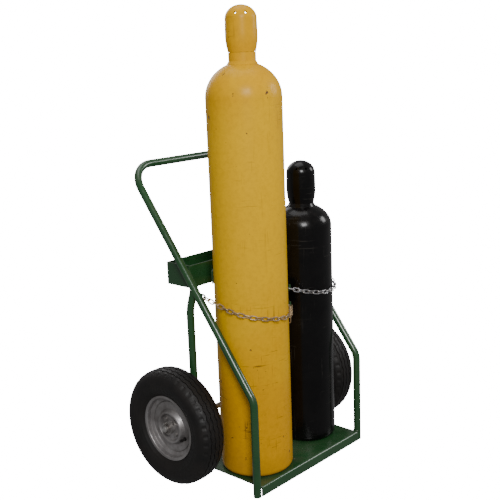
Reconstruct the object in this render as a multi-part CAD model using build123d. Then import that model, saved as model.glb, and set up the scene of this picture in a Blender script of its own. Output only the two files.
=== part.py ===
from build123d import *
import math
import os

# A two-cylinder welding cart: a bent tube frame on two pneumatic wheels carries a tall and a short
# gas cylinder side by side. Lengths are in millimetres. While it is modelled, X runs across the cart
# with 0 midway between the wheels, Y runs from the front lip (0) to the rear, and Z is up from the
# floor. At the end every piece is moved so that the origin is under the middle of the whole cart.

# ---- gas cylinders ----
tall_r = 118.0            # outer radius of the tall cylinder
tall_shoulder_z = 1238.0  # where its straight wall ends
tall_dome = 108.0         # height of the elliptical shoulder
tall_neck_z = 1372.5      # top of the neck ring, where the cap sits
tall_cap_height = 139.2
short_r = 100.7
short_shoulder_z = 789.0
short_dome = 77.0
short_neck_z = 868.0
short_cap_height = 143.1
shell_wall = 6.0
neck_ring_r = 42.2
neck_ring_t = 12.0
neck_bore_r = 14.0        # threaded hole for the valve
neck_boss_r = 37.6        # threaded boss that the cap screws over
neck_boss_height = 18.0
cap_r = 49.3
cap_wall = 3.6
cap_vent_r = 3.6
cap_vent_drop = 25.0      # below the top of the cap
cap_vent_spread = 21.0    # degrees each side of the pair's middle
cap_clearance = 0.35
spindle_r = 3.5
body_clearance = 0.3      # between solids that move apart

# ---- cart layout ----
side_gap = 2.4            # cylinder to side tube
middle_gap = 74.2         # between the two cylinders
tall_front_gap = 10.9     # front of the tall cylinder behind the lip's face
short_front_gap = 51.1
axle_gap = 36.0           # rearmost cylinder to the front of the axle

# ---- tube frame ----
tube_r = 12.7
tube_wall = 2.3
lean_z = 318.3            # corner where the upright starts to lean back
lean_bend_r = 60.0
handle_z = 1018.6         # centre line of the handle bar
handle_overhang = 231.1   # handle bar behind the axle
handle_bend_r = 88.0
brace_corner_drop = 63.0  # brace bend below the tray's underside
brace_join_rise = 5.0
brace_bend_r = 150.0
weld_gap = 0.05           # coped brace end to the leaning tube

# ---- base plate ----
plate_t = 6.0
plate_top_z = 33.0
plate_bend_r = 9.0

# ---- tool tray ----
tray_lead = 5.26          # tray's front wall behind the leaning tubes' centres at half its height
tray_height = 74.0
tray_depth = 109.0
tray_sheet = 2.0
tray_hem = 14.0
tray_gap = 28.5           # rearmost cylinder to the tray's front wall
saddle_t = 5.0
saddle_height = 42.0
saddle_arc = 84.0         # degrees of wrap
saddle_clearance = 1.2
saddle_post_width = 46.0

# ---- wheels ----
tyre_r = 193.3
tyre_half_width = 52.9
tread_half_flat = 12.7
tyre_wall = 8.0
tube_skin = 1.8           # rubber inner tube
rim_r = 101.6             # bead seat radius
rim_half_width = 34.0     # outer faces of the flanges
rim_sheet = 2.4
flange_height = 7.4
well_r = 88.0
well_half_width = 13.0
tyre_gap = 8.7            # tyre side to the side tube
axle_r = 9.525
hub_r = 20.5
hub_half_length = 34.0
hub_flange_r = 40.0
hub_flange_t = 4.0
disc_x = 18.0             # outer face of the wheel disc at the hub
disc_flange = 6.0         # width of its flange against the rim's well
bearing_r = 17.5
bearing_length = 13.0
bearing_flange_t = 2.0
running_clearance = 0.05
hub_bolt_r = 4.0
hub_bolt_circle = 31.0
hub_bolt_count = 4
valve_r = 4.0
valve_hole_radius = 66.0  # valve hole from the wheel's axis
valve_angle = 205.0       # degrees about the axle
washer_r = 17.0
washer_t = 2.5
cotter_r = 2.0

# ---- chains ----
wire_r = 2.0
link_straight = 12.0      # between the two bend centres of a link
link_bend_r = 6.0         # centre line of the wire
link_play = 0.6           # slack left at each pair of links
lug_drop = 15.0           # chain lug below the tray's underside
lug_reach = 10.0          # chain lug's hole in front of the side tube
lug_t = 3.0
lug_hole_r = 5.5
lug_margin = 5.0
hook_r = 3.0
hook_low_z = 545.0
hook_high_z = 604.0
hook_y = 98.0
hook_prong = 20.0
hook_play = 1.2
short_chain_low_z = 572.0
tail_links = 3
divider_t = 6.0

# ---- derived places ----
plate_half = tall_r + short_r + middle_gap / 2 + side_gap
gauge = plate_half + tube_r
tall_x = -(plate_half - side_gap - tall_r)
short_x = plate_half - side_gap - short_r
tall_y = tall_front_gap + tall_r
short_y = short_front_gap + short_r
cylinders_rear = max(tall_y + tall_r, short_y + short_r)
middle_x = (tall_x + tall_r + short_x - short_r) / 2
axle_y = cylinders_rear + axle_gap + axle_r
brace_y = axle_y - axle_r - tube_r
front_y = tube_r
handle_y = axle_y + handle_overhang
tray_front_y = cylinders_rear + tray_gap
lean_slope = (handle_z - lean_z) / (handle_y - front_y)
tray_bottom_z = lean_z + (tray_front_y - tray_lead - front_y) * lean_slope - tray_height / 2
seat_z = plate_top_z + body_clearance
wheel_x = gauge + tube_r + tyre_gap + tyre_half_width
wheel_z = tyre_r
disc_outer_r = well_r - rim_sheet


def lean_y(z):
    """Y of the leaning tube's centre line at height z."""
    return front_y + (handle_y - front_y) * (z - lean_z) / (handle_z - lean_z)


def sheet(points, thickness, bend):
    """Profile of formed sheet along a bent centre line."""
    return trace(FilletPolyline(*points, radius=bend), line_width=thickness)


def turned(face):
    """Turn a profile of (radius, height) about the vertical axis."""
    return Rot(90, 0, 0) * revolve(face, Axis.Y, 360)


def ring(outer, inner, start, end):
    """A ring about X between two stations."""
    face = Pos((start + end) / 2, (outer + inner) / 2) * Rectangle(end - start, outer - inner)
    return revolve(face, Axis.X, 360)


def rod(points, radius, bend):
    path = FilletPolyline(*points, radius=bend)
    return sweep(Plane(origin=path @ 0, z_dir=path % 0) * Circle(radius), path=path)


def tube(points, bend):
    path = FilletPolyline(*points, radius=bend)
    start = Plane(origin=path @ 0, z_dir=path % 0)
    outer = sweep(start * Circle(tube_r), path=path)
    inner = sweep(start * Circle(tube_r - tube_wall), path=path)
    return outer, inner


# ---- frame ----
def frame_points():
    left = [(-gauge, front_y, 0), (-gauge, front_y, lean_z), (-gauge, handle_y, handle_z)]
    return left + [(-x, y, z) for x, y, z in reversed(left)]


frame_bends = [lean_bend_r, handle_bend_r, handle_bend_r, lean_bend_r]


def frame_envelope():
    """The bent tube as a solid bar, a weld gap larger, for coping what meets it."""
    return rod(frame_points(), tube_r + weld_gap, frame_bends)


def brace_left(envelope):
    join_z = tray_bottom_z + brace_join_rise
    points = [
        (-gauge, brace_y, plate_top_z - plate_t),
        (-gauge, brace_y, tray_bottom_z - brace_corner_drop),
        (-gauge, lean_y(join_z), join_z),
    ]
    outer, inner = tube(points, brace_bend_r)
    return outer - inner - envelope


def base_plate():
    rear = brace_y + tube_r
    outline = Polyline(
        (0, 0), (plate_t, 0), (plate_t, plate_top_z - plate_t), (rear, plate_top_z - plate_t),
        (rear, plate_top_z), (0, plate_top_z), close=True,
    )
    face = make_face(outline)
    inside = face.vertices().sort_by_distance((plate_t, plate_top_z - plate_t))[0]
    face = fillet(inside, plate_bend_r - plate_t)
    outside = face.vertices().sort_by_distance((0, plate_top_z))[0]
    face = fillet(outside, plate_bend_r)
    return extrude(Plane.YZ * face, plate_half, both=True)


def tray():
    depth, height, t = tray_depth, tray_height, tray_sheet
    box = Box(2 * plate_half, depth, height)
    hollow = Pos(0, 0, t) * Box(2 * plate_half - 2 * t, depth - 2 * t, height)
    hem_z = (height - tray_hem) / 2
    hem = Pos(0, 0, hem_z) * (Box(2 * plate_half, depth, tray_hem)
                              - Box(2 * plate_half - 4 * t, depth - 4 * t, tray_hem))
    shell = box - hollow + hem
    corners = shell.edges().filter_by(Axis.Z).filter_by(lambda e: e.length > tray_height - 1)
    shell = fillet(corners, t)
    return Pos(0, tray_front_y + depth / 2, tray_bottom_z + height / 2) * shell


def saddle(x, y, radius):
    """A curved rest behind a cylinder, standing off the tray's front wall."""
    inner = radius + saddle_clearance
    start = 90 - saddle_arc / 2
    centre_z = tray_bottom_z + tray_height / 2
    arc = CenterArc((0, 0), inner + saddle_t / 2, start, saddle_arc)
    strap = extrude(trace(arc, line_width=saddle_t), saddle_height / 2, both=True)
    reach = tray_front_y - y
    post = Pos(0, (inner + reach) / 2, 0) * Box(saddle_post_width, reach - inner, saddle_height)
    post -= Cylinder(inner + saddle_t / 2, saddle_height + 1)
    return Pos(x, y, centre_z) * (strap + post)


def divider():
    """Plate between the cylinders that carries the two chain hooks."""
    front = hook_y + 3 * hook_r
    low = hook_low_z - 12
    high = hook_high_z + 12
    outline = Polyline(
        (tray_front_y, tray_bottom_z + 8), (tray_front_y, tray_bottom_z + tray_height - 8),
        (tray_front_y - 34, tray_bottom_z + tray_height - 8), (front + 30, high), (front, high),
        (front, low), (front + 30, low), close=True,
    )
    plate = extrude(Plane.YZ * make_face(outline), divider_t / 2, both=True)
    return Pos(middle_x, 0, 0) * plate


def hooks():
    """Upturned hooks welded to the divider's front edge."""
    front = hook_y + 3 * hook_r
    made = []
    for z in (hook_low_z, hook_high_z):
        points = [
            (middle_x, front, z - 2 * hook_r), (middle_x, hook_y, z - 2 * hook_r),
            (middle_x, hook_y, z - 2 * hook_r + hook_prong),
        ]
        made.append(rod(points, hook_r, 1.6 * hook_r))
    return Compound(made)


def lug_place(side):
    """Centre of a chain lug's hole, in front of the leaning tube."""
    z = tray_bottom_z - lug_drop
    lean = math.atan2(handle_y - front_y, handle_z - lean_z)
    tube_front = lean_y(z) - tube_r / math.cos(lean)
    return side * gauge, tube_front - lug_reach, z


def chain_lug_left(envelope):
    x, y, z = lug_place(-1)
    reach = lean_y(z) - y
    eye = Cylinder(lug_hole_r + lug_margin, lug_t)
    arm = Pos(reach / 2, 0, 0) * Box(reach, 2 * (lug_hole_r + lug_margin), lug_t)
    plate = eye + arm - Cylinder(lug_hole_r, 2 * lug_t)
    turn = Plane(origin=(x, y, z), x_dir=(0, 1, 0), z_dir=(1, 0, 0))
    return turn.location * plate - envelope


# ---- chains ----
def link():
    outline = SlotCenterToCenter(link_straight, 2 * link_bend_r)
    path = outline.wire()
    return sweep(Plane(origin=path @ 0, z_dir=path % 0) * Circle(wire_r), path=path)


def tangent_point(centre, radius, start, side):
    """Where a line from start touches a circle; side -1 or 1 picks which way round."""
    dx, dy = centre[0] - start[0], centre[1] - start[1]
    distance = math.hypot(dx, dy)
    heading = math.atan2(dy, dx) + side * math.asin(radius / distance)
    run = math.sqrt(distance ** 2 - radius ** 2)
    return start[0] + run * math.cos(heading), start[1] + run * math.sin(heading)


def wrap_path(centre, radius, start, end):
    """Plan route from start, round the front of a cylinder (counter-clockwise), to end."""
    first = tangent_point(centre, radius, start, -1)
    last = tangent_point(centre, radius, end, 1)
    a0 = math.atan2(first[1] - centre[1], first[0] - centre[0])
    a1 = math.atan2(last[1] - centre[1], last[0] - centre[0])
    sweep_angle = (a1 - a0) % (2 * math.pi)
    runs = [math.dist(start, first), radius * sweep_angle, math.dist(last, end)]

    def at(s):
        if s < runs[0]:
            f = s / runs[0]
            return start[0] + f * (first[0] - start[0]), start[1] + f * (first[1] - start[1])
        if s < runs[0] + runs[1]:
            a = a0 + (s - runs[0]) / radius
            return centre[0] + radius * math.cos(a), centre[1] + radius * math.sin(a)
        f = (s - runs[0] - runs[1]) / runs[2]
        return last[0] + f * (end[0] - last[0]), last[1] + f * (end[1] - last[1])

    return at, sum(runs)


def chain(centre, cylinder_r, start, end, height, start_inset, end_inset):
    """Links along a route round a cylinder. height(t) gives Z from t = 0 at start to 1 at end."""
    half = link_straight / 2 + link_bend_r
    sagitta = half ** 2 / (2 * cylinder_r)
    radius = cylinder_r + link_bend_r * math.cos(math.pi / 4) + wire_r + sagitta + body_clearance
    at, length = wrap_path(centre, radius, start, end)

    def point(s):
        x, y = at(s)
        return Vector(x, y, height(s / length))

    pitch = link_straight + 2 * link_bend_r - 2 * wire_r - link_play
    gaps = 2 * math.ceil((length - start_inset - end_inset) / pitch / 2)
    spacing = (length - start_inset - end_inset) / gaps
    piece = link()
    links = []
    for i in range(gaps + 1):
        s = start_inset + i * spacing
        along = (point(min(s + 4, length)) - point(max(s - 4, 0))).normalized()
        level = along.cross(Vector(0, 0, 1)).normalized()
        rise = level.cross(along)
        twist = 45 * min(1, i / 3, (gaps - i) / 3) + 90 * (i % 2)
        across = level * math.cos(math.radians(twist)) + rise * math.sin(math.radians(twist))
        place = Plane(origin=point(s), x_dir=along, z_dir=along.cross(across))
        links.append(place.location * piece)
    return links, point(length - end_inset), level


def tall_chain():
    end = (middle_x, hook_y)
    x, y, z = lug_place(-1)
    inset = link_straight / 2 + link_bend_r

    def height(t):
        return hook_low_z + (z - hook_low_z) * (1 - t) ** 2

    links, last, across = chain((tall_x, tall_y), tall_r, (x, y), end, height,
                                inset, inset - wire_r - hook_r - hook_play)
    drop = link_straight / 2 + link_bend_r - 2 * wire_r
    top = last + across * -link_bend_r
    for i in range(tail_links):
        centre = top - Vector(0, 0, drop + i * (link_straight + 2 * link_bend_r - 2 * wire_r - link_play))
        side = across if i % 2 == 0 else across.cross(Vector(0, 0, 1))
        place = Plane(origin=centre, x_dir=(0, 0, 1), z_dir=side.cross(Vector(0, 0, 1)))
        links.append(place.location * link())
    return Compound(links)


def short_chain():
    start = (middle_x, hook_y)
    x, y, z = lug_place(1)
    inset = link_straight / 2 + link_bend_r
    low = short_chain_low_z
    bow = 2 * (hook_high_z + z - 2 * low)
    slope = z - hook_high_z - bow

    def height(t):
        return hook_high_z + slope * t + bow * t * t

    links, _, _ = chain((short_x, short_y), short_r, start, (x, y), height,
                        inset - wire_r - hook_r - hook_play, inset)
    return Compound(links)


# ---- wheels, built about X with the wheel's middle at 0 and the outer side at +X ----
def tyre_outline(inset):
    """Half section of the tyre, drawn a distance inside its outer surface."""
    shoulder = tyre_half_width - tread_half_flat
    top = tyre_r - inset
    side = tyre_half_width - inset
    centre_r = tyre_r - shoulder
    bend = shoulder - inset
    diagonal = bend * math.sqrt(0.5)
    upper = Line((0, top), (tread_half_flat, top))
    crown = ThreePointArc(
        (tread_half_flat, top), (tread_half_flat + diagonal, centre_r + diagonal), (side, centre_r)
    )
    bead = rim_half_width - rim_sheet - body_clearance - inset * 0.75
    wall = Spline(
        (side, centre_r), (side - 5.5, centre_r - 29), (bead, rim_r + flange_height + inset * 0.4),
        tangents=[(0, -1), (-0.9, -1)],
    )
    return upper, crown, wall, bead


def tyre():
    outer = tyre_outline(0)
    inner = tyre_outline(tyre_wall)
    seat = rim_r + body_clearance
    outer_end = outer[2] @ 1
    inner_end = inner[2] @ 1
    toe = inner[3] - 5
    bead = Polyline(outer_end, (outer[3], seat + 2.5), (outer[3] - 2.5, seat), (toe, seat),
                    (toe, seat + 4), inner_end)
    closing = Line(inner[0] @ 0, outer[0] @ 0)
    half = make_face(Curve() + [*outer[:3], bead, inner[2], inner[1], inner[0], closing])
    section = half + mirror(half, Plane.YZ)
    body = revolve(section, Axis.X, 360)
    for x in (-25.0, -9.0, 9.0, 25.0):
        body -= tread_groove(x)
    return body


def tread_groove(x):
    """A ring cut round the tread."""
    drop = tyre_r - math.sqrt((tyre_half_width - tread_half_flat) ** 2
                              - max(0, abs(x) - tread_half_flat) ** 2)
    surface = tyre_r - (drop - (tyre_r - (tyre_half_width - tread_half_flat)))
    return ring(surface + 6, surface - 3.2, x - 1.8, x + 1.8)


def inner_tube():
    def section(inset, low):
        upper, crown, wall, bead = tyre_outline(inset)
        bottom = Polyline(wall @ 1, (bead - 4, low), (0, low))
        half = make_face(Curve() + [upper, crown, wall, bottom, Line((0, low), upper @ 0)])
        return half + mirror(half, Plane.YZ)

    gap = tyre_wall + body_clearance
    low = rim_r + 8
    skin = section(gap, low) - section(gap + tube_skin, low + tube_skin)
    return revolve(skin, Axis.X, 360)


def rim():
    """Drop-centre rim rolled from sheet."""
    t = rim_sheet
    edge = rim_half_width - t / 2
    seat = rim_r - t / 2
    right = [
        (edge, rim_r + flange_height), (edge, seat), (well_half_width + 5, seat - 1.2),
        (well_half_width, well_r - t / 2),
    ]
    points = right + [(-x, r) for x, r in reversed(right)]
    barrel = revolve(sheet(points, t, 2.6), Axis.X, 360)
    return barrel - valve_bore(valve_r + 0.4)


def wheel_disc():
    """Pressed disc with a raised ring round the hub and a flange welded inside the rim's well."""
    t = rim_sheet
    x = disc_x - t / 2
    points = [
        (x, hub_r + 0.1), (x, 42), (x + 10, 47), (x + 10, 52), (x - 4, 60), (x - 4, 78),
        (x - 3.5, disc_outer_r - t / 2), (x - 3.5 - disc_flange, disc_outer_r - t / 2),
    ]
    disc = revolve(sheet(points, t, 2.0), Axis.X, 360)
    return disc - hub_bolt_holes()


def hub_bolt_places():
    return [Rot(360 / hub_bolt_count * (i + 0.5), 0, 0) * Pos(0, 0, hub_bolt_circle)
            for i in range(hub_bolt_count)]


def hub_bolt_holes():
    hole = Rot(0, 90, 0) * Cylinder(hub_bolt_r + 0.15, 60)
    return [place * Pos(disc_x, 0, 0) * hole for place in hub_bolt_places()]


def hub():
    """Hub tube with a flange behind each disc, bored for the bearings."""
    inner_face = disc_x - rim_sheet
    body = ring(hub_r, bearing_r, -hub_half_length, hub_half_length)
    shoulder = hub_half_length - bearing_length
    body += ring(bearing_r, bearing_r - 3, -shoulder, shoulder)
    for side in (-1, 1):
        flange = ring(hub_flange_r, hub_r - 1, inner_face - hub_flange_t, inner_face)
        flange -= hub_bolt_holes()
        body += flange if side > 0 else mirror(flange, Plane.YZ)
    return body


def bearing():
    """Sealed ball bearing with a flanged outer race, at the hub's outer end."""
    end = hub_half_length
    start = end - bearing_length
    outer = ring(bearing_r, bearing_r - 3, start, end)
    outer += ring(hub_r, bearing_r - 3, end, end + bearing_flange_t)
    bore = axle_r + running_clearance
    inner = ring(bore + 2.4, bore, start, end + bearing_flange_t)
    seal = ring(bearing_r - 3, bore + 2.4, start + 1, end + bearing_flange_t - 0.8)
    return [outer, inner, seal]


def hub_bolts():
    """Hex bolts through the discs and hub flanges, with their nuts."""
    inner_face = disc_x - rim_sheet - hub_flange_t
    hexagon = extrude(RegularPolygon(7.5, 6), 5.3)
    nut = extrude(RegularPolygon(7.5, 6) - Circle(hub_bolt_r), 5.5)
    shank_length = disc_x - inner_face + 7
    bolt = hexagon + Pos(0, 0, -shank_length / 2) * Cylinder(hub_bolt_r, shank_length)
    made = []
    for place in hub_bolt_places():
        made.append(place * Pos(disc_x, 0, 0) * Rot(0, 90, 0) * bolt)
        made.append(place * Pos(inner_face, 0, 0) * Rot(0, -90, 0) * nut)
    return made


def valve_path():
    a = math.radians(valve_angle)
    outward = Vector(0, math.cos(a), math.sin(a))
    end_x = disc_x + 12
    start = outward * (rim_r + 12)
    corner = outward * valve_hole_radius
    return [tuple(start), tuple(corner), (end_x, corner.Y, corner.Z)]


def valve_bore(radius):
    start, corner, end = [Vector(*p) for p in valve_path()]
    above = start + (start - corner).normalized() * 8
    beyond = end + Vector(10, 0, 0)
    return rod([tuple(above), tuple(corner), tuple(beyond)], radius, 9)


def valve():
    stem = rod(valve_path(), valve_r, 9)
    end = Vector(*valve_path()[-1])
    cap = Pos(end) * Rot(0, 90, 0) * Cylinder(valve_r + 0.9, 9)
    return stem + cap


def both_ends(pieces):
    return Compound(pieces + [mirror(piece, Plane.YZ) for piece in pieces])


def wheel(side):
    """All pieces of one wheel, by name, at rest on the axle."""
    outer_disc = wheel_disc() - valve_bore(valve_r + 2.6)
    inner_disc = mirror(wheel_disc(), Plane.YZ)
    tube_piece = inner_tube() - valve_bore(valve_r)
    made = {
        "tyre": tyre(), "inner_tube": tube_piece, "rim": rim(), "valve_stem": valve(),
        "disc_outer": outer_disc, "disc_inner": inner_disc, "hub": hub(),
        "bearings": both_ends(bearing()), "hub_bolts": both_ends(hub_bolts()),
    }
    if side < 0:
        made = {name: mirror(shape, Plane.YZ) for name, shape in made.items()}
    place = Pos(side * wheel_x, axle_y, wheel_z)
    return {name: place * shape for name, shape in made.items()}


# ---- axle ----
def axle_end():
    bearing_end = hub_half_length + bearing_flange_t
    return wheel_x + bearing_end + body_clearance + washer_t


def axle():
    length = axle_end() + 3 * cotter_r + 4
    bar = Rot(0, 90, 0) * Cylinder(axle_r, 2 * length)
    bar = chamfer(bar.edges().filter_by(GeomType.CIRCLE), 1.5)
    for side in (-1, 1):
        bar -= Pos(side * (axle_end() + 1.5 * cotter_r), 0, 0) * Cylinder(cotter_r + 0.05, 4 * axle_r)
    return Pos(0, axle_y, wheel_z) * bar


def axle_washers():
    """Washers each side of both hubs and the sleeves that keep the wheels off the frame."""
    bearing_end = hub_half_length + bearing_flange_t + body_clearance
    outer = ring(washer_r, axle_r + 0.1, bearing_end, bearing_end + washer_t)
    inner = ring(washer_r, axle_r + 0.1, -bearing_end - washer_t, -bearing_end)
    place = Pos(wheel_x, axle_y, wheel_z)
    right = [place * outer, place * inner]
    return Compound(right + [mirror(p, Plane.YZ) for p in right])


def spacer_sleeve(side):
    start = gauge + tube_r
    end = wheel_x - hub_half_length - bearing_flange_t - body_clearance - washer_t
    sleeve = Pos(0, axle_y, wheel_z) * ring(washer_r - 3, axle_r + 0.1, start, end)
    return sleeve if side > 0 else mirror(sleeve, Plane.YZ)


def cotter_pins():
    pin = Cylinder(cotter_r, 3.2 * axle_r)
    eye = Pos(0, 0, 1.6 * axle_r + 4) * Rot(0, 90, 0) * Torus(4.5, 1.5)
    right = Pos(axle_end() + 1.5 * cotter_r, axle_y, wheel_z) * (pin + eye)
    return Compound([right, mirror(right, Plane.YZ)])


# ---- gas cylinders ----
def shell_section(radius, base, shoulder, dome, neck_z, wall):
    """Half section of a cylinder's outer or inner surface, on an inverted base."""
    neck = neck_bore_r if wall else neck_ring_r - neck_ring_t
    edge = 16.0
    rise = 22.0
    foot = radius - edge
    low = base + wall
    rounding = edge * math.sqrt(0.5)
    bottom = ThreePointArc((0, low + rise), (foot * 0.55, low + rise * 0.66), (foot, low))
    corner = ThreePointArc((foot, low), (foot + rounding, low + edge - rounding), (radius, low + edge))
    side = Line((radius, low + edge), (radius, shoulder))
    meet = math.sqrt(1 - (neck / radius) ** 2)
    climb = math.degrees(math.atan2(meet, neck / radius))
    shoulder_arc = EllipticalCenterArc((0, shoulder), radius, dome, 0, arc_size=climb)
    top = Polyline(shoulder_arc @ 1, (neck, neck_z), (0, neck_z))
    axis = Line((0, neck_z), (0, low + rise))
    return make_face(Curve() + [bottom, corner, side, shoulder_arc, top, axis])


def cylinder_shell(radius, shoulder, dome, neck_z):
    wall = shell_wall
    outer = shell_section(radius, seat_z, shoulder, dome, neck_z, 0)
    inner = shell_section(radius - wall, seat_z, shoulder, dome - wall, neck_z, wall)
    return turned(outer - inner)


def neck_ring(radius, shoulder, dome, neck_z):
    """Collar shrunk on the neck, with the threaded boss for the cap."""
    inner = neck_ring_r - neck_ring_t
    low = shoulder + dome * math.sqrt(1 - (neck_ring_r / radius) ** 2) - 6
    points = [
        (inner, low), (neck_ring_r + 8, low), (neck_ring_r, low + 14), (neck_ring_r, neck_z),
        (neck_boss_r, neck_z), (neck_boss_r, neck_z + neck_boss_height), (inner, neck_z + neck_boss_height),
    ]
    collar = turned(make_face(Polyline(*points, close=True)))
    return collar - turned(shell_section(radius, seat_z, shoulder, dome, neck_z, 0))


def cap(neck_z, height):
    """Screw-on valve cap: a drawn steel dome that narrows to its threaded foot."""
    low = neck_z + body_clearance
    top = neck_z + height
    foot = neck_boss_r + cap_clearance
    dome = 41.7

    def surface(inset, base_r, start):
        middle = (start + low + 52) / 2 - 5
        waist = Spline(
            (base_r, start), (cap_r - 2.4 - inset, middle), (cap_r - inset, low + 52),
            tangents=[(0.25, 1), (0, 1)],
        )
        side_r = cap_r - 0.8 - inset
        side = Line((cap_r - inset, low + 52), (side_r, top - dome))
        arc = EllipticalCenterArc((0, top - dome), side_r, dome - inset, 0, arc_size=90)
        return [waist, side, arc]

    outer = surface(0, neck_ring_r, low)
    inner = surface(cap_wall, foot, low + neck_boss_height + 4)
    solid = make_face(Curve() + [*outer, Polyline((0, top), (0, low), (neck_ring_r, low))])
    thread = Polyline((0, top - cap_wall), (0, low), (foot, low), inner[0] @ 0)
    hollow = make_face(Curve() + [*inner, thread])
    body = turned(solid - hollow)
    vent = Pos(0, 0, top - cap_vent_drop) * Rot(0, 90, 0) * Cylinder(cap_vent_r, 3 * cap_r)
    return body - [Rot(0, 0, 42 + turn) * vent for turn in (-cap_vent_spread, cap_vent_spread)]


def valve_body(neck_z):
    """Brass cylinder valve, screwed into the neck and hidden under the cap."""
    plug = Pos(0, 0, neck_z - 11) * Cylinder(neck_bore_r, 22)
    collar = Pos(0, 0, neck_z) * extrude(RegularPolygon(19, 6), 14)
    body = Pos(0, 0, neck_z + 34) * Cylinder(13, 60)
    outlet = Pos(0, -14, neck_z + 42) * Rot(90, 0, 0) * Cylinder(9.5, 34)
    relief = Pos(0, 12, neck_z + 42) * Rot(90, 0, 0) * Cylinder(7, 22)
    gland = Pos(0, 0, neck_z + 64) * extrude(RegularPolygon(11, 6), 8)
    spindle = Pos(0, 0, neck_z + 82) * Cylinder(spindle_r, 24)
    return plug + collar + body + outlet + relief + gland + spindle


def handwheel(neck_z):
    rim_ring = Torus(22, 4)
    spokes = [Rot(0, 0, 90 * i) * Pos(11, 0, 0) * Box(20, 6, 4) for i in range(4)]
    wheel_piece = rim_ring + Cylinder(8, 8) + spokes
    wheel_piece -= Cylinder(spindle_r + running_clearance, 20)
    return Pos(0, 0, neck_z + 86) * wheel_piece


def gas_cylinder(name, x, y, radius, shoulder, dome, neck_z, cap_height):
    place = Pos(x, y, 0)
    made = {
        "cylinder_": cylinder_shell(radius, shoulder, dome, neck_z),
        "neck_ring_": neck_ring(radius, shoulder, dome, neck_z),
        "valve_": valve_body(neck_z), "handwheel_": handwheel(neck_z),
        "cap_": cap(neck_z, cap_height),
    }
    return {key + name: place * shape for key, shape in made.items()}


def build():
    frame_outer, frame_inner = tube(frame_points(), frame_bends)
    envelope = frame_envelope()
    brace = brace_left(envelope)
    lug = chain_lug_left(envelope)
    pieces = {
        "frame_tube": frame_outer - frame_inner,
        "brace_left": brace, "brace_right": mirror(brace, Plane.YZ),
        "base_plate": base_plate(), "tray": tray(),
        "saddle_tall": saddle(tall_x, tall_y, tall_r),
        "saddle_short": saddle(short_x, short_y, short_r),
        "divider": divider(), "chain_hooks": hooks(),
        "chain_lug_left": lug, "chain_lug_right": mirror(lug, Plane.YZ),
        "chain_tall": tall_chain(), "chain_short": short_chain(),
        "axle": axle(), "axle_washers": axle_washers(), "cotter_pins": cotter_pins(),
        "spacer_left": spacer_sleeve(-1), "spacer_right": spacer_sleeve(1),
    }
    for side, word in ((-1, "left"), (1, "right")):
        for name, shape in wheel(side).items():
            pieces[name + "_" + word] = shape
    pieces.update(gas_cylinder("tall", tall_x, tall_y, tall_r, tall_shoulder_z, tall_dome,
                               tall_neck_z, tall_cap_height))
    pieces.update(gas_cylinder("short", short_x, short_y, short_r, short_shoulder_z, short_dome,
                               short_neck_z, short_cap_height))
    return pieces


def main():
    pieces = build()
    boxes = [shape.bounding_box() for shape in pieces.values()]
    front = min(box.min.Y for box in boxes)
    rear = max(box.max.Y for box in boxes)
    shift = Pos(0, -(front + rear) / 2, 0)
    os.makedirs("parts", exist_ok=True)
    for name, shape in pieces.items():
        export_step(shift * shape, "parts/" + name + ".step")


main()
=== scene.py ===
import math

import bmesh
import bpy
from bpy.props import FloatProperty, FloatVectorProperty, IntProperty, PointerProperty
from mathutils import Matrix, Vector


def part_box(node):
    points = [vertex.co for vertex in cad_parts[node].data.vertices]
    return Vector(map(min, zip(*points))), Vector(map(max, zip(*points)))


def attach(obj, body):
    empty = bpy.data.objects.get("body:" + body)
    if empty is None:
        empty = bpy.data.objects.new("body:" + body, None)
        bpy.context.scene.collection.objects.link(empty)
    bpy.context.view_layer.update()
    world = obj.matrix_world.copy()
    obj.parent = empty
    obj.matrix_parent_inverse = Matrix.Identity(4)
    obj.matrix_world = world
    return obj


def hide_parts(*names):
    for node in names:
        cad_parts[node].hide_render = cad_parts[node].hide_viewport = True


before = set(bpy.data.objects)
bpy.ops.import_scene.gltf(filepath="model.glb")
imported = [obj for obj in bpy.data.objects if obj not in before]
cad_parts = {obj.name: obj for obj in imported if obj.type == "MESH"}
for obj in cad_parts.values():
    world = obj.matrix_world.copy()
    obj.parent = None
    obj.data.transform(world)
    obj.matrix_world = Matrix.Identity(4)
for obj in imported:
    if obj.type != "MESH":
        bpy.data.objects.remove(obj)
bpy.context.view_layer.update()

bl_info = {
    "name": "Welding Cylinder Cart",
    "version": (1, 0, 0),
    "blender": (4, 5, 0),
    "location": "View3D > Sidebar > Cart",
    "description": "Finishes, tyres, welds and studio for a two-cylinder welding cart",
    "category": "Object",
}

MM = 0.001
GROOVE_CENTRES = (9 * MM, 25 * MM)  # sideways from the middle of the tread
LUG_START = 33 * MM
LUG_END = 44.5 * MM
SIDE_STEPS = 20
PROUD_STEPS = (5, 6, 13, 14)        # steps of the sidewall that carry a raised ring
TYRE_WALL = 8 * MM
STEPS_PER_LUG = 8
BEAD_SIDES = 10                     # sides of a weld bead's section
ROOM_STRENGTH = 0.24                # light that the white room gives
BACKDROP_STRENGTH = 16.5            # brightness of the backdrop to the camera


def colour_property(name, description, default):
    return FloatVectorProperty(name=name, description=description, default=default, size=3,
                               subtype="COLOR", min=0.0, max=1.0)


def length_property(name, description, default):
    return FloatProperty(name=name, description=description, default=default, unit="LENGTH",
                         subtype="DISTANCE", precision=5)


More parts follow.
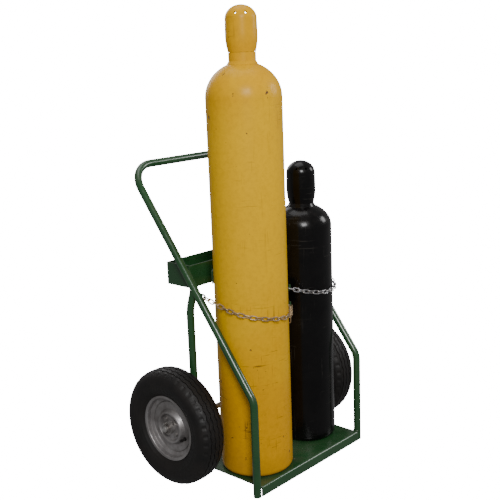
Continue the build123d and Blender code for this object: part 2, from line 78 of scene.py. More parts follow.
# ---- settings ----
class CartPaintSettings(bpy.types.PropertyGroup):
    enamel: colour_property("Frame enamel", "Green of the frame, tray and plate", (0.009, 0.060, 0.015))
    enamel_light: colour_property("Faded enamel", "Green where the enamel has faded", (0.022, 0.082, 0.026))
    yellow: colour_property("Yellow paint", "Upper part of the tall cylinder", (0.84, 0.47, 0.0))
    yellow_low: colour_property("Handled yellow", "Lower part of the tall cylinder", (0.72, 0.35, 0.001))
    yellow_dirt: colour_property("Yellow dirt", "Brown dirt worked into the paint", (0.16, 0.075, 0.012))
    black: colour_property("Black paint", "Short cylinder and its cap", (0.0012, 0.0011, 0.0014))
    black_faded: colour_property("Faded black", "Scuffed parts of the black paint", (0.003, 0.0027, 0.003))


class CartWheelSettings(bpy.types.PropertyGroup):
    rubber: colour_property("Tyre rubber", "Clean rubber", (0.004, 0.0034, 0.0034))
    dust: colour_property("Tyre dust", "Brown dust on the rubber", (0.020, 0.0145, 0.0125))
    steel: colour_property("Wheel steel", "Weathered plating of the rims and discs", (0.40, 0.385, 0.385))
    tread_depth: length_property("Tread depth", "Depth of the grooves", 3.2 * MM)
    groove_width: length_property("Groove width", "Width of each zigzag groove", 3.6 * MM)
    zigzag: length_property("Zigzag", "Sideways swing of the grooves", 2.2 * MM)
    lugs: IntProperty(name="Shoulder lugs", description="Lugs round each shoulder", default=40, min=8)


class CartWeldSettings(bpy.types.PropertyGroup):
    bead_radius: length_property("Bead radius", "Size of a weld bead", 2.6 * MM)
    ripple: length_property("Ripple spacing", "Distance between weld ripples", 2.4 * MM)
    lean_corner: length_property("Lean corner", "Height where the uprights start to lean back", 318.3 * MM)


class CartStageSettings(bpy.types.PropertyGroup):
    camera_place: FloatVectorProperty(name="Camera place", description="Where the camera stands",
                                      default=(-2.12183, -1.96892, 1.37456), subtype="TRANSLATION")
    azimuth: FloatProperty(name="Azimuth", description="Turn round the vertical",
                           default=math.radians(-47.37), subtype="ANGLE")
    elevation: FloatProperty(name="Elevation", description="Downward tilt of the view",
                             default=math.radians(12.82), subtype="ANGLE")
    roll: FloatProperty(name="Roll", description="Lean of the camera", default=math.radians(-2.2),
                        subtype="ANGLE")
    lens: FloatProperty(name="Lens", description="Focal length in millimetres on a 36 mm sensor",
                        default=62.92, min=10.0)


# ---- shader building ----
class Graph:
    """Adds nodes to one node tree and links their sockets."""

    def __init__(self, tree):
        self.tree = tree

    def node(self, kind, **settings):
        made = self.tree.nodes.new(kind)
        for key, value in settings.items():
            setattr(made, key, value)
        return made

    def feed(self, socket, value):
        if isinstance(value, bpy.types.NodeSocket):
            self.tree.links.new(value, socket)
        else:
            socket.default_value = value

    def math(self, operation, a, b=0.5, clamp=False):
        made = self.node("ShaderNodeMath", operation=operation, use_clamp=clamp)
        self.feed(made.inputs[0], a)
        self.feed(made.inputs[1], b)
        return made.outputs[0]

    def spread(self, value, low, high, to_low=0.0, to_high=1.0):
        """Map a value from low..high to to_low..to_high, clamped."""
        made = self.node("ShaderNodeMapRange", interpolation_type="SMOOTHSTEP")
        for socket, given in zip(made.inputs, (value, low, high, to_low, to_high)):
            self.feed(socket, given)
        return made.outputs[0]

    def mix(self, factor, first, second, blend="MIX"):
        made = self.node("ShaderNodeMix", data_type="RGBA", blend_type=blend)
        self.feed(made.inputs[0], factor)
        self.feed(made.inputs[6], first)
        self.feed(made.inputs[7], second)
        return made.outputs[2]

    def noise(self, scale, detail=4.0, rough=0.55, vector=None):
        made = self.node("ShaderNodeTexNoise")
        self.feed(made.inputs["Scale"], scale)
        made.inputs["Detail"].default_value = detail
        made.inputs["Roughness"].default_value = rough
        self.feed(made.inputs["Vector"], vector or self.place())
        return made.outputs["Fac"]

    def place(self):
        return self.node("ShaderNodeTexCoord").outputs["Object"]

    def height(self):
        split = self.node("ShaderNodeSeparateXYZ")
        self.feed(split.inputs[0], self.place())
        return split.outputs["Z"]

    def scaled(self, vector, scale):
        made = self.node("ShaderNodeVectorMath", operation="MULTIPLY")
        self.feed(made.inputs[0], vector)
        self.feed(made.inputs[1], scale)
        return made.outputs[0]

    def group(self, tree, **inputs):
        made = self.node("ShaderNodeGroup", node_tree=tree)
        for key, value in inputs.items():
            self.feed(made.inputs[key.replace("_", " ")], value)
        return made.outputs


def rgba(colour):
    return (*colour, 1.0)


def make_group(name, inputs, outputs, build):
    """A shader node group with float inputs {name: default} and float outputs."""
    if name in bpy.data.node_groups:
        return bpy.data.node_groups[name]
    tree = bpy.data.node_groups.new(name, "ShaderNodeTree")
    for key, default in inputs.items():
        socket = tree.interface.new_socket(name=key, in_out="INPUT", socket_type="NodeSocketFloat")
        socket.default_value = default
    for key in outputs:
        tree.interface.new_socket(name=key, in_out="OUTPUT", socket_type="NodeSocketFloat")
    graph = Graph(tree)
    given = graph.node("NodeGroupInput").outputs
    result = graph.node("NodeGroupOutput").inputs
    build(graph, given, result)
    return tree


def edge_wear_group():
    """Mask along hard edges, broken up by noise."""
    def build(graph, given, result):
        bevel = graph.node("ShaderNodeBevel", samples=6)
        graph.feed(bevel.inputs["Radius"], given["Width"])
        dot = graph.node("ShaderNodeVectorMath", operation="DOT_PRODUCT")
        graph.feed(dot.inputs[0], bevel.outputs[0])
        graph.feed(dot.inputs[1], graph.node("ShaderNodeNewGeometry").outputs["Normal"])
        edge = graph.spread(dot.outputs["Value"], 0.985, 0.86)
        broken = graph.spread(graph.noise(given["Noise Scale"], 6.0, 0.7), 0.42, 0.62)
        graph.feed(result["Mask"], graph.math("MULTIPLY", graph.math("MULTIPLY", edge, broken),
                                              given["Amount"], True))
    return make_group("Edge Wear", {"Width": 0.0015, "Noise Scale": 90.0, "Amount": 1.0}, ["Mask"], build)


def patina_group():
    """Broad blotches and a fine grain."""
    def build(graph, given, result):
        graph.feed(result["Broad"], graph.spread(graph.noise(given["Scale"], 5.0, 0.6), 0.3, 0.7))
        fine = graph.math("MULTIPLY", given["Scale"], 14.0)
        graph.feed(result["Fine"], graph.noise(fine, 6.0, 0.65))
    return make_group("Patina", {"Scale": 6.0}, ["Broad", "Fine"], build)


def scratches_group():
    """Thin upright scratches and level scuffs."""
    def build(graph, given, result):
        upright = graph.noise(given["Scale"], 3.0, 0.6, graph.scaled(graph.place(), (1.0, 1.0, 0.035)))
        level = graph.noise(given["Scale"], 3.0, 0.6, graph.scaled(graph.place(), (0.05, 0.05, 1.0)))
        patches = graph.spread(graph.noise(9.0, 3.0, 0.6), 0.48, 0.66)
        for name, field in (("Upright", upright), ("Level", level)):
            line = graph.spread(field, given["Threshold"], graph.math("ADD", given["Threshold"], 0.03))
            graph.feed(result[name], graph.math("MULTIPLY", line, patches))
    return make_group("Scratches", {"Scale": 160.0, "Threshold": 0.63}, ["Upright", "Level"], build)


def chips_group():
    """Small sharp-edged chips, few and scattered."""
    def build(graph, given, result):
        chip = graph.noise(given["Scale"], 7.0, 0.62)
        cut = graph.spread(chip, given["Threshold"], graph.math("ADD", given["Threshold"], 0.015))
        graph.feed(result["Mask"], cut)
    return make_group("Chips", {"Scale": 45.0, "Threshold": 0.68}, ["Mask"], build)


def dust_group():
    """Dust that lies on what faces up, and less on the rest."""
    def build(graph, given, result):
        normal = graph.node("ShaderNodeSeparateXYZ")
        graph.feed(normal.inputs[0], graph.node("ShaderNodeNewGeometry").outputs["Normal"])
        up = graph.spread(normal.outputs["Z"], -0.2, 1.0, 0.15, 1.0)
        cloud = graph.spread(graph.noise(given["Scale"], 6.0, 0.7), 0.35, 0.7)
        graph.feed(result["Mask"], graph.math("MULTIPLY", graph.math("MULTIPLY", up, cloud),
                                              given["Amount"], True))
    return make_group("Settled Dust", {"Scale": 22.0, "Amount": 0.5}, ["Mask"], build)


def new_material(name):
    material = bpy.data.materials.new(name)
    material.use_nodes = True
    graph = Graph(material.node_tree)
    shader = material.node_tree.nodes["Principled BSDF"]
    return material, graph, shader


def bump(graph, shader, height, strength, distance):
    made = graph.node("ShaderNodeBump")
    made.inputs["Strength"].default_value = strength
    made.inputs["Distance"].default_value = distance
    graph.feed(made.inputs["Height"], height)
    graph.feed(shader.inputs["Normal"], made.outputs[0])


# ---- finishes ----
def enamel_finish(name, base, faded, rust=(0.10, 0.045, 0.02), wear=1.0):
    """Brushed-on gloss enamel with chipped edges and dust."""
    material, graph, shader = new_material(name)
    patina = graph.group(patina_group(), Scale=7.0)
    colour = graph.mix(graph.math("MULTIPLY", patina["Broad"], 0.75), rgba(base), rgba(faded))
    dust = graph.group(dust_group(), Scale=18.0, Amount=0.30)["Mask"]
    colour = graph.mix(dust, colour, rgba((0.10, 0.095, 0.075)))
    edge = graph.group(edge_wear_group(), Width=0.0018, Noise_Scale=70.0, Amount=wear)["Mask"]
    chips = graph.group(chips_group(), Scale=38.0, Threshold=0.705)["Mask"]
    bare = graph.math("MAXIMUM", edge, chips)
    metal = graph.mix(patina["Fine"], rgba(rust), rgba((0.16, 0.15, 0.14)))
    colour = graph.mix(bare, colour, metal)
    graph.feed(shader.inputs["Base Color"], colour)
    gloss = graph.spread(patina["Fine"], 0.3, 0.7, 0.20, 0.34)
    graph.feed(shader.inputs["Roughness"], graph.math("ADD", gloss, graph.math("MULTIPLY", bare, 0.35)))
    shader.inputs["Coat Weight"].default_value = 0.25
    shader.inputs["Coat Roughness"].default_value = 0.12
    height = graph.math("SUBTRACT", graph.math("MULTIPLY", patina["Fine"], 0.5), bare)
    bump(graph, shader, height, 0.35, 0.0004)
    return material


def yellow_finish(paint):
    """Old cylinder paint: golden above, browner and dirtier below, scratched where it is handled."""
    material, graph, shader = new_material("yellow_paint")
    height = graph.height()
    patina = graph.group(patina_group(), Scale=5.0)
    wander = graph.math("ADD", height, graph.math("MULTIPLY", patina["Broad"], 0.22))
    low = graph.spread(wander, 0.80, 0.30)
    sunned = graph.math("MULTIPLY", graph.spread(wander, 1.20, 1.55), 0.8)
    colour = graph.mix(graph.math("MAXIMUM", low, sunned), rgba(paint.yellow), rgba(paint.yellow_low))
    shade = graph.math("MULTIPLY", graph.spread(patina["Fine"], 0.35, 0.75), 0.16)
    colour = graph.mix(shade, colour, rgba(paint.yellow_dirt))
    scratches = graph.group(scratches_group(), Scale=150.0, Threshold=0.61)
    marks = graph.math("MULTIPLY", graph.math("MAXIMUM", scratches["Upright"], scratches["Level"]),
                       graph.math("ADD", 0.30, graph.math("MULTIPLY", low, 0.6)), True)
    colour = graph.mix(marks, colour, rgba(paint.yellow_dirt))
    foot = graph.spread(wander, 0.26, 0.04)
    grime = graph.math("MULTIPLY", foot, graph.spread(patina["Broad"], 0.2, 0.9, 0.25, 0.75))
    colour = graph.mix(grime, colour, rgba(paint.yellow_dirt))
    chips = graph.group(chips_group(), Scale=34.0, Threshold=0.675)["Mask"]
    edge = graph.group(edge_wear_group(), Width=0.002, Noise_Scale=60.0, Amount=0.8)["Mask"]
    bare = graph.math("MAXIMUM", chips, edge)
    colour = graph.mix(bare, colour, rgba((0.13, 0.065, 0.03)))
    graph.feed(shader.inputs["Base Color"], colour)
    rough = graph.spread(patina["Fine"], 0.3, 0.7, 0.28, 0.42)
    worn = graph.math("MULTIPLY", graph.math("MAXIMUM", bare, marks), 0.25)
    graph.feed(shader.inputs["Roughness"], graph.math("ADD", rough, worn))
    shader.inputs["Coat Weight"].default_value = 0.04
    shader.inputs["Specular IOR Level"].default_value = 0.13
    shader.inputs["Coat Roughness"].default_value = 0.2
    relief = graph.math("SUBTRACT", graph.math("MULTIPLY", patina["Fine"], 0.6), bare)
    bump(graph, shader, relief, 0.30, 0.0005)
    return material


def black_finish(paint):
    """Glossy black cylinder paint with pale scuffs."""
    material, graph, shader = new_material("black_paint")
    patina = graph.group(patina_group(), Scale=7.0)
    colour = graph.mix(patina["Broad"], rgba(paint.black), rgba(paint.black_faded))
    scratches = graph.group(scratches_group(), Scale=170.0, Threshold=0.62)
    marks = graph.math("MULTIPLY", graph.math("MAXIMUM", scratches["Upright"], scratches["Level"]), 0.35)
    colour = graph.mix(marks, colour, rgba((0.05, 0.045, 0.04)))
    dust = graph.group(dust_group(), Scale=25.0, Amount=0.08)["Mask"]
    colour = graph.mix(dust, colour, rgba((0.09, 0.08, 0.07)))
    edge = graph.group(edge_wear_group(), Width=0.002, Noise_Scale=60.0, Amount=0.6)["Mask"]
    colour = graph.mix(edge, colour, rgba((0.06, 0.05, 0.043)))
    graph.feed(shader.inputs["Base Color"], colour)
    rough = graph.spread(patina["Fine"], 0.3, 0.7, 0.16, 0.30)
    graph.feed(shader.inputs["Roughness"], graph.math("ADD", rough, graph.math("MULTIPLY", marks, 0.5)))
    shader.inputs["Specular IOR Level"].default_value = 0.2
    shader.inputs["Coat Weight"].default_value = 0.12
    shader.inputs["Coat Roughness"].default_value = 0.1
    bump(graph, shader, patina["Fine"], 0.22, 0.0005)
    return material


def rubber_finish(name, rubber, dust_colour):
    material, graph, shader = new_material(name)
    patina = graph.group(patina_group(), Scale=10.0)
    dust = graph.group(dust_group(), Scale=14.0, Amount=0.5)["Mask"]
    film = graph.math("MAXIMUM", dust, graph.math("MULTIPLY", patina["Broad"], 0.45))
    colour = graph.mix(film, rgba(rubber), rgba(dust_colour))
    edge = graph.group(edge_wear_group(), Width=0.0012, Noise_Scale=120.0, Amount=0.5)["Mask"]
    colour = graph.mix(edge, colour, rgba((0.06, 0.05, 0.043)))
    graph.feed(shader.inputs["Base Color"], colour)
    graph.feed(shader.inputs["Roughness"], graph.spread(patina["Fine"], 0.3, 0.75, 0.46, 0.72))
    shader.inputs["Specular IOR Level"].default_value = 0.4
    bump(graph, shader, patina["Fine"], 0.4, 0.0004)
    return material


def steel_finish(name, base, dull, roughness=(0.28, 0.5), dirt=0.5, metallic=0.85, scale=16.0):
    """Plated or bare steel with dull patches, dirt on what faces up and scattered dirty spots."""
    material, graph, shader = new_material(name)
    patina = graph.group(patina_group(), Scale=scale)
    colour = graph.mix(patina["Broad"], rgba(base), rgba(dull))
    dust = graph.group(dust_group(), Scale=scale * 1.5, Amount=dirt)["Mask"]
    spots = graph.group(chips_group(), Scale=scale * 5.0, Threshold=0.66)["Mask"]
    soil = graph.math("MAXIMUM", dust, graph.math("MULTIPLY", spots, 0.7))
    colour = graph.mix(soil, colour, rgba((0.085, 0.06, 0.042)))
    graph.feed(shader.inputs["Base Color"], colour)
    clean = graph.math("SUBTRACT", 1.0, soil)
    graph.feed(shader.inputs["Metallic"], graph.math("MULTIPLY", clean, metallic))
    rough = graph.spread(patina["Fine"], 0.3, 0.7, *roughness)
    graph.feed(shader.inputs["Roughness"], graph.math("ADD", rough, graph.math("MULTIPLY", soil, 0.3), True))
    bump(graph, shader, patina["Fine"], 0.25, 0.0003)
    return material


def assign(material, *names):
    for name in names:
        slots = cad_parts[name].material_slots
        if not slots:
            raise RuntimeError(f"{name} has no material slot")
        for slot in slots:
            slot.material = material


def scene_material(name, make):
    return bpy.data.materials.get(name) or make()


def green_enamel():
    paint = bpy.context.scene.cart_paint
    name = "frame_enamel"
    return scene_material(name, lambda: enamel_finish(name, paint.enamel, paint.enamel_light))


def mesh_object(name, bm, material, smooth_angle=35.0):
    """A new object from bmesh data, shaded smooth up to an angle."""
    mesh = bpy.data.meshes.new(name)
    bmesh.ops.recalc_face_normals(bm, faces=bm.faces)
    bm.to_mesh(mesh)
    bm.free()
    mesh.materials.append(material)
    mesh.shade_smooth()
    mesh.set_sharp_from_angle(angle=math.radians(smooth_angle))
    made = bpy.data.objects.new(name, mesh)
    bpy.context.scene.collection.objects.link(made)
    return made


# ---- tyres ----
def tyre_profile(radius, half, settings):
    """Outer half section as (x, r, groove depth, zigzag share, lug depth), from the middle outwards."""
    flat = half * 0.24
    shoulder = half - flat
    middle_r = radius - shoulder
    depth = settings.tread_depth
    gap = settings.groove_width / 2
    lip = 0.25 * MM

    def on_surface(x):
        past = max(0.0, x - flat)
        return middle_r + math.sqrt(max(0.0, shoulder ** 2 - past ** 2))

    points = [(0.0, radius, 0.0, 0.0, 0.0)]
    for centre in GROOVE_CENTRES:
        for x, share in (
            (centre - gap - lip, 0), (centre - gap, 1), (centre + gap, 1), (centre + gap + lip, 0),
        ):
            points.append((x, on_surface(x), depth * share, 1.0, 0.0))
    slope = 0.5 * MM
    for x, lug in (
        (LUG_START, 0), (LUG_START + slope, 1), (39 * MM, 1), (LUG_END - slope, 1), (LUG_END, 0),
    ):
        points.append((x, on_surface(x), 0.0, 0.0, depth * 0.7 * lug))
    for step in range(1, 7):
        angle = math.asin((LUG_END - flat) / shoulder)
        angle += (math.pi / 2 - angle) * step / 6
        points.append((flat + shoulder * math.sin(angle), middle_r + shoulder * math.cos(angle), 0, 0, 0))
    return points, middle_r


def side_profile(half, middle_r, bead_x, bead_r):
    """Sidewall from its widest place to the bead, with raised rings."""
    bends = [
        (half, middle_r), (half, middle_r - 18 * MM),
        (bead_x + 9 * MM, bead_r + 9.5 * MM), (bead_x, bead_r),
    ]
    points = []
    for step in range(1, SIDE_STEPS + 1):
        t = step / SIDE_STEPS
        weights = ((1 - t) ** 3, 3 * t * (1 - t) ** 2, 3 * t * t * (1 - t), t ** 3)
        x = sum(w * p[0] for w, p in zip(weights, bends))
        r = sum(w * p[1] for w, p in zip(weights, bends))
        proud = 0.9 * MM if step in PROUD_STEPS else 0.0
        points.append((x - 0.5 * MM * (step < 4) + proud * 0.6, r, 0.0, 0.0, 0.0))
    return points


def tyre_mesh(name, side, settings, material):
    low, high = (Vector(corner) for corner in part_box("tyre_" + side))
    centre = (low + high) / 2
    radius = (high.z - low.z) / 2
    half = (high.x - low.x) / 2
    rim_low, rim_high = (Vector(corner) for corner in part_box("rim_" + side))
    flange = (rim_high.z - rim_low.z) / 2
    bead_x = (rim_high.x - rim_low.x) / 2 - 2.8 * MM
    tread, middle_r = tyre_profile(radius, half, settings)
    outer = tread + side_profile(half, middle_r, bead_x, flange + 0.2 * MM)
    bead = [
        (bead_x, flange - 4 * MM), (bead_x - 3 * MM, flange - 6.8 * MM),
        (bead_x - 11 * MM, flange - 6.8 * MM),
    ]
    inside = [
        (bead_x - 6 * MM, flange + 4 * MM), (half - TYRE_WALL - 2 * MM, middle_r - 20 * MM),
        (half - TYRE_WALL, middle_r), (half * 0.68, middle_r + 25 * MM),
        (half * 0.24, radius - TYRE_WALL),
    ]
    half_ring = outer + [(x, r, 0.0, 0.0, 0.0) for x, r in bead + inside]
    section = half_ring + [(-p[0], *p[1:]) for p in reversed(half_ring[1:])]
    steps = settings.lugs * STEPS_PER_LUG
    bm = bmesh.new()
    rings = []
    for i in range(steps):
        turn = 2 * math.pi * i / steps
        phase = i % STEPS_PER_LUG
        swing = settings.zigzag * (abs(phase - STEPS_PER_LUG / 2) / (STEPS_PER_LUG / 4) - 1)
        in_slot = 1.0 if phase in (1, 2, 3) else 0.0
        ring = []
        for x, r, groove, zigzag, lug in section:
            reach = r - groove - lug * in_slot
            ring.append(bm.verts.new(centre + Vector((x + swing * zigzag, reach * math.cos(turn),
                                                      reach * math.sin(turn)))))
        rings.append(ring)
    count = len(section)
    for i in range(steps):
        here, there = rings[i], rings[(i + 1) % steps]
        for j in range(count):
            k = (j + 1) % count
            bm.faces.new((here[j], here[k], there[k], there[j]))
    return mesh_object(name, bm, material, 28.0)


# ---- welds ----
def weld_bead(name, points, settings, closed=False):
    """A rippled bead laid along a line of points."""
    radius = settings.bead_radius
    path = [Vector(p) for p in points]
    if closed:
        path.append(path[0])
    stations = []
    for a, b in zip(path, path[1:]):
        steps = max(1, round((b - a).length / (settings.ripple / 3)))
        stations += [a.lerp(b, i / steps) for i in range(steps)]
    if not closed:
        stations.append(path[-1])
    bm = bmesh.new()
    rings = []
    total = len(stations)
    for i, place in enumerate(stations):
        ahead = stations[(i + 1) % total] if closed else stations[min(i + 1, total - 1)]
        behind = stations[i - 1] if closed else stations[max(i - 1, 0)]
        along = (ahead - behind).normalized()
        across = along.orthogonal().normalized()
        rise = along.cross(across)
        taper = 1.0 if closed else min(1.0, 0.35 + min(i, total - 1 - i) / 4)
        size = radius * taper * (0.82 + 0.18 * abs(math.cos(math.pi * i / 3)))
        rings.append([bm.verts.new(place + size * (across * math.cos(a) + rise * math.sin(a)))
                      for a in (2 * math.pi * k / BEAD_SIDES for k in range(BEAD_SIDES))])
    pairs = list(zip(rings, rings[1:])) + ([(rings[-1], rings[0])] if closed else [])
    for here, there in pairs:
        for k in range(BEAD_SIDES):
            n = (k + 1) % BEAD_SIDES
            bm.faces.new((here[k], here[n], there[n], there[k]))
    if not closed:
        bm.faces.new(rings[0])
        bm.faces.new(rings[-1])
    made = mesh_object(name, bm, green_enamel(), 50.0)
    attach(made, "cart")
    return made


def tube_radius():
    low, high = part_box("brace_left")
    return (high[0] - low[0]) / 2


def lean_y(z):
    """Y of a leaning tube's centre line at height z."""
    low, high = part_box("frame_tube")
    tube = tube_radius()
    foot_y, bar_y, bar_z = low[1] + tube, high[1] - tube, high[2] - tube
    corner = bpy.context.scene.cart_welds.lean_corner
    return foot_y + (bar_y - foot_y) * (z - corner) / (bar_z - corner)


def tube_edge_points(x, y, z, facing, spread, radius):
    """Points on a tube's outline at one height, either side of the direction it faces."""
    angles = [facing + spread * (i / 8 - 1) for i in range(17)]
    return [(x + radius * math.cos(a), y + radius * math.sin(a), z) for a in angles]


# ---- operators ----
class CART_OT_finish_frame(bpy.types.Operator):
    """Paint the frame, plate, tray, saddles and chain fittings"""
    bl_idname = "cart.finish_frame"
    bl_label = "Finish frame"

    def execute(self, context):
        assign(green_enamel(), "frame_tube", "brace_left", "brace_right", "base_plate", "tray", "saddle_tall",
               "saddle_short", "divider", "chain_hooks", "chain_lug_left", "chain_lug_right")
        return {"FINISHED"}


class CART_OT_finish_cylinders(bpy.types.Operator):
    """Paint both gas cylinders, their neck rings and caps, and finish the valves"""
    bl_idname = "cart.finish_cylinders"
    bl_label = "Finish cylinders"

    def execute(self, context):
        paint = context.scene.cart_paint
        assign(yellow_finish(paint), "cylinder_tall", "neck_ring_tall", "cap_tall")
        assign(black_finish(paint), "cylinder_short", "neck_ring_short", "cap_short")
        brass = steel_finish("valve_brass", (0.62, 0.40, 0.13), (0.42, 0.25, 0.08), (0.25, 0.42), 0.2)
        assign(brass, "valve_tall", "valve_short")
        red = enamel_finish("handwheel_enamel", (0.16, 0.01, 0.008), (0.22, 0.03, 0.02))
        assign(red, "handwheel_tall", "handwheel_short")
        return {"FINISHED"}


class CART_OT_finish_wheels(bpy.types.Operator):
    """Finish rims, discs, hubs and bolts"""
    bl_idname = "cart.finish_wheels"
    bl_label = "Finish wheels"

    def execute(self, context):
        wheels = context.scene.cart_wheels
        plated = steel_finish("wheel_steel", wheels.steel, (0.20, 0.185, 0.18), (0.32, 0.52), 0.5, 0.75, 12.0)
        bright = steel_finish("hub_steel", (0.58, 0.57, 0.56), (0.36, 0.34, 0.32), (0.26, 0.42), 0.45)
        zinc = steel_finish("bolt_steel", (0.30, 0.29, 0.28), (0.17, 0.15, 0.14), (0.3, 0.5), 0.5, 0.8, 30.0)
        rubber = rubber_finish("tube_rubber", wheels.rubber, wheels.dust)
        for side in ("left", "right"):
            assign(plated, "rim_" + side, "disc_outer_" + side, "disc_inner_" + side)
            assign(bright, "hub_" + side, "bearings_" + side, "spacer_" + side)
            assign(zinc, "hub_bolts_" + side)
            assign(rubber, "inner_tube_" + side, "valve_stem_" + side)
        assign(bright, "axle")
        assign(zinc, "axle_washers", "cotter_pins")
        return {"FINISHED"}


class CART_OT_build_tyres(bpy.types.Operator):
    """Build both tyres with zigzag tread, shoulder lugs and sidewall rings"""
    bl_idname = "cart.build_tyres"
    bl_label = "Build tyres"

    def execute(self, context):
        wheels = context.scene.cart_wheels
        rubber = rubber_finish("tyre_rubber", wheels.rubber, wheels.dust)
        for side in ("left", "right"):
            tyre = tyre_mesh("tyre_tread_" + side, side, wheels, rubber)
            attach(tyre, "wheel_" + side)
            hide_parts("tyre_" + side)
        return {"FINISHED"}


class CART_OT_finish_chains(bpy.types.Operator):
    """Give the two retaining chains their zinc finish"""
    bl_idname = "cart.finish_chains"
    bl_label = "Finish chains"

    def execute(self, context):
        dull = steel_finish("chain_tall_steel", (0.60, 0.46, 0.28), (0.36, 0.25, 0.13),
                            (0.3, 0.5), 0.4, 0.8, 40.0)
        zinc = steel_finish("chain_short_steel", (0.55, 0.55, 0.57), (0.36, 0.35, 0.35),
                            (0.25, 0.4), 0.2, 0.9, 40.0)
        assign(dull, "chain_tall")
        assign(zinc, "chain_short")
        return {"FINISHED"}


class CART_OT_lay_welds(bpy.types.Operator):
    """Lay a weld bead at each joint of the frame"""
    bl_idname = "cart.lay_welds"
    bl_label = "Lay welds"

    def execute(self, context):
        settings = context.scene.cart_welds
        for word, side in (("left", -1), ("right", 1)):
            self.brace_welds(word, settings)
            self.plate_welds(word, side, settings)
            self.tray_welds(word, side, settings)
            self.axle_welds(word, side, settings)
        self.saddle_welds(settings)
        return {"FINISHED"}

    def brace_welds(self, word, settings):
        """Round the coped top of the brace, where it meets the leaning tube."""
        tube = tube_radius()
        low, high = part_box("brace_" + word)
        x = (low[0] + high[0]) / 2
        lean = math.atan2(lean_y(1.0) - lean_y(0.0), 1.0)
        found = []
        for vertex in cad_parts["brace_" + word].data.vertices:
            place = vertex.co
            off = abs(place.y - lean_y(place.z)) * math.cos(lean)
            if place.z > high[2] - 6 * tube and abs(math.hypot(place.x - x, off) - tube) < 0.2 * MM:
                found.append(place.copy())
        if len(found) < 8:
            raise RuntimeError(f"only {len(found)} points on the coped edge of brace_{word}")
        middle = sum(found, Vector()) / len(found)
        ring = {}
        for place in found:
            key = round(math.atan2(place.z - middle.z, place.x - middle.x) / (math.pi / 10))
            if key not in ring or (place - middle).length > (ring[key] - middle).length:
                ring[key] = place
        points = [ring[key] for key in sorted(ring)]
        weld_bead("weld_brace_" + word, points, settings, closed=True)

    def plate_welds(self, word, side, settings):
        """Where the base plate meets the upright and the brace."""
        plate_low, plate_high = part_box("base_plate")
        tube = tube_radius()
        brace_low, brace_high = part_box("brace_" + word)
        x = (brace_low[0] + brace_high[0]) / 2
        facing = math.pi if side > 0 else 0.0
        for name, y in (("upright", plate_low[1] + tube), ("brace", plate_high[1] - tube)):
            points = tube_edge_points(x, y, plate_high[2] + 0.5 * MM, facing, math.radians(52), tube)
            weld_bead(f"weld_plate_{name}_{word}", points, settings)

    def tray_welds(self, word, side, settings):
        low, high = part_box("tray")
        x = high[0] if side > 0 else low[0]
        tube = tube_radius()
        for name, shift in (("front", -0.55 * tube), ("rear", 0.55 * tube)):
            ends = (low[2] + 8 * MM, high[2] - 6 * MM)
            points = [(x + side * 1.6 * MM, lean_y(z) + shift, z) for z in ends]
            weld_bead(f"weld_tray_{name}_{word}", points, settings)

    def axle_welds(self, word, side, settings):
        """Above and below the axle where it lies against the brace."""
        axle_low, axle_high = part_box("axle")
        brace_low, brace_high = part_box("brace_" + word)
        y = axle_low[1] - 0.5 * MM
        middle = (axle_low[2] + axle_high[2]) / 2
        inset = 3 * MM
        for name, shift in (("above", 5 * MM), ("below", -5 * MM)):
            z = middle + shift
            points = [(brace_low[0] + inset, y, z), (brace_high[0] - inset, y, z)]
            weld_bead(f"weld_axle_{name}_{word}", points, settings)

    def saddle_welds(self, settings):
        """Saddle posts and divider on the tray's front wall."""
        tray_low, tray_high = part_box("tray")
        y = tray_low[1] - 0.4 * MM
        for name, half in (("saddle_tall", 23 * MM), ("saddle_short", 23 * MM), ("divider", 3 * MM)):
            low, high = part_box(name)
            x = (low[0] + high[0]) / 2
            top = min(high[2], tray_high[2]) - 2 * MM
            bottom = max(low[2], tray_low[2] + 8 * MM) + 2 * MM
            for word, shift in (("left", -half), ("right", half)):
                weld_bead(f"weld_{name}_{word}", [(x + shift, y, bottom), (x + shift, y, top)], settings)


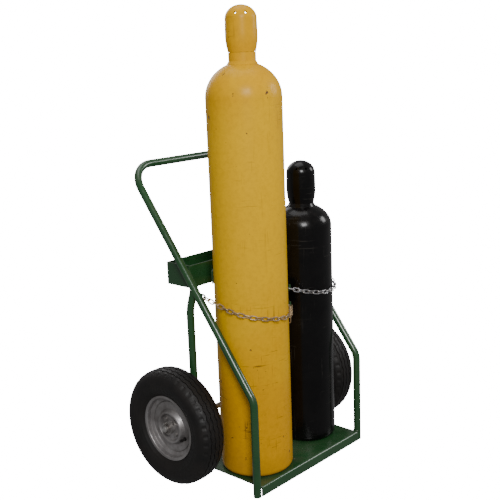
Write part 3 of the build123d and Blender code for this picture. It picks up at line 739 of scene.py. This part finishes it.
class CART_OT_set_stage(bpy.types.Operator):
    """Add the white backdrop, soft studio lights and the camera"""
    bl_idname = "cart.set_stage"
    bl_label = "Set stage"

    def execute(self, context):
        stage = context.scene.cart_stage
        self.add_world(context.scene)
        self.add_lights()
        self.add_camera(context.scene, stage)
        return {"FINISHED"}

    def add_world(self, scene):
        """A white room: bright to the camera, dimmer as a light."""
        world = bpy.data.worlds.new("studio")
        world.use_nodes = True
        graph = Graph(world.node_tree)
        shader = world.node_tree.nodes["Background"]
        shader.inputs["Color"].default_value = (1.0, 1.0, 1.0, 1.0)
        seen = graph.node("ShaderNodeLightPath").outputs["Is Camera Ray"]
        graph.feed(shader.inputs["Strength"], graph.spread(seen, 0.0, 1.0, ROOM_STRENGTH, BACKDROP_STRENGTH))
        scene.world = world

    def add_lights(self):
        lights = (
            ("key_softbox", (-2.2, -2.7, 2.6), 1.2, 112.0),
            ("side_softbox", (2.8, -2.0, 2.2), 1.2, 40.0),
            ("top_softbox", (0.2, 0.4, 3.6), 2.0, 28.0),
            ("rear_softbox", (1.0, 3.2, 2.4), 2.0, 30.0),
        )
        target = Vector((0.0, 0.0, 0.7))
        for name, place, size, power in lights:
            lamp = bpy.data.lights.new(name, "AREA")
            lamp.size = size
            lamp.energy = power
            made = bpy.data.objects.new(name, lamp)
            made.location = place
            made.rotation_euler = (target - Vector(place)).to_track_quat("-Z", "Y").to_euler()
            bpy.context.scene.collection.objects.link(made)

    def add_camera(self, scene, stage):
        lens = bpy.data.cameras.new("studio_camera")
        lens.lens = stage.lens
        lens.sensor_width = 36.0
        lens.clip_end = 100.0
        camera = bpy.data.objects.new("studio_camera", lens)
        a, e, r = stage.azimuth, stage.elevation, stage.roll
        back = Vector((math.sin(a) * math.cos(e), -math.cos(a) * math.cos(e), math.sin(e)))
        right = Vector((math.cos(a), math.sin(a), 0.0))
        up = back.cross(right)
        across = right * math.cos(r) + up * math.sin(r)
        upward = up * math.cos(r) - right * math.sin(r)
        turn = Matrix((across, upward, back)).transposed()
        camera.matrix_world = Matrix.Translation(stage.camera_place) @ turn.to_4x4()
        scene.collection.objects.link(camera)
        scene.camera = camera


class CART_PT_sidebar(bpy.types.Panel):
    bl_label = "Welding cart"
    bl_idname = "CART_PT_sidebar"
    bl_space_type = "VIEW_3D"
    bl_region_type = "UI"
    bl_category = "Cart"

    def draw(self, context):
        for operator in OPERATORS:
            self.layout.operator(operator.bl_idname)
        for name in SETTINGS:
            group = getattr(context.scene, name)
            box = self.layout.box()
            for key in group.__annotations__:
                box.prop(group, key)


OPERATORS = (
    CART_OT_finish_frame,
    CART_OT_finish_cylinders,
    CART_OT_finish_wheels,
    CART_OT_build_tyres,
    CART_OT_finish_chains,
    CART_OT_lay_welds,
    CART_OT_set_stage,
)
SETTINGS = {
    "cart_paint": CartPaintSettings,
    "cart_wheels": CartWheelSettings,
    "cart_welds": CartWeldSettings,
    "cart_stage": CartStageSettings,
}


def register():
    for settings in SETTINGS.values():
        bpy.utils.register_class(settings)
    for name, settings in SETTINGS.items():
        setattr(bpy.types.Scene, name, PointerProperty(type=settings))
    for operator in OPERATORS:
        bpy.utils.register_class(operator)
    bpy.utils.register_class(CART_PT_sidebar)


def unregister():
    bpy.utils.unregister_class(CART_PT_sidebar)
    for operator in reversed(OPERATORS):
        bpy.utils.unregister_class(operator)
    for name, settings in reversed(SETTINGS.items()):
        delattr(bpy.types.Scene, name)
        bpy.utils.unregister_class(settings)


def main():
    register()
    for operator in OPERATORS:
        group, action = operator.bl_idname.split(".")
        getattr(getattr(bpy.ops, group), action)()


if __name__ == "__main__":
    main()
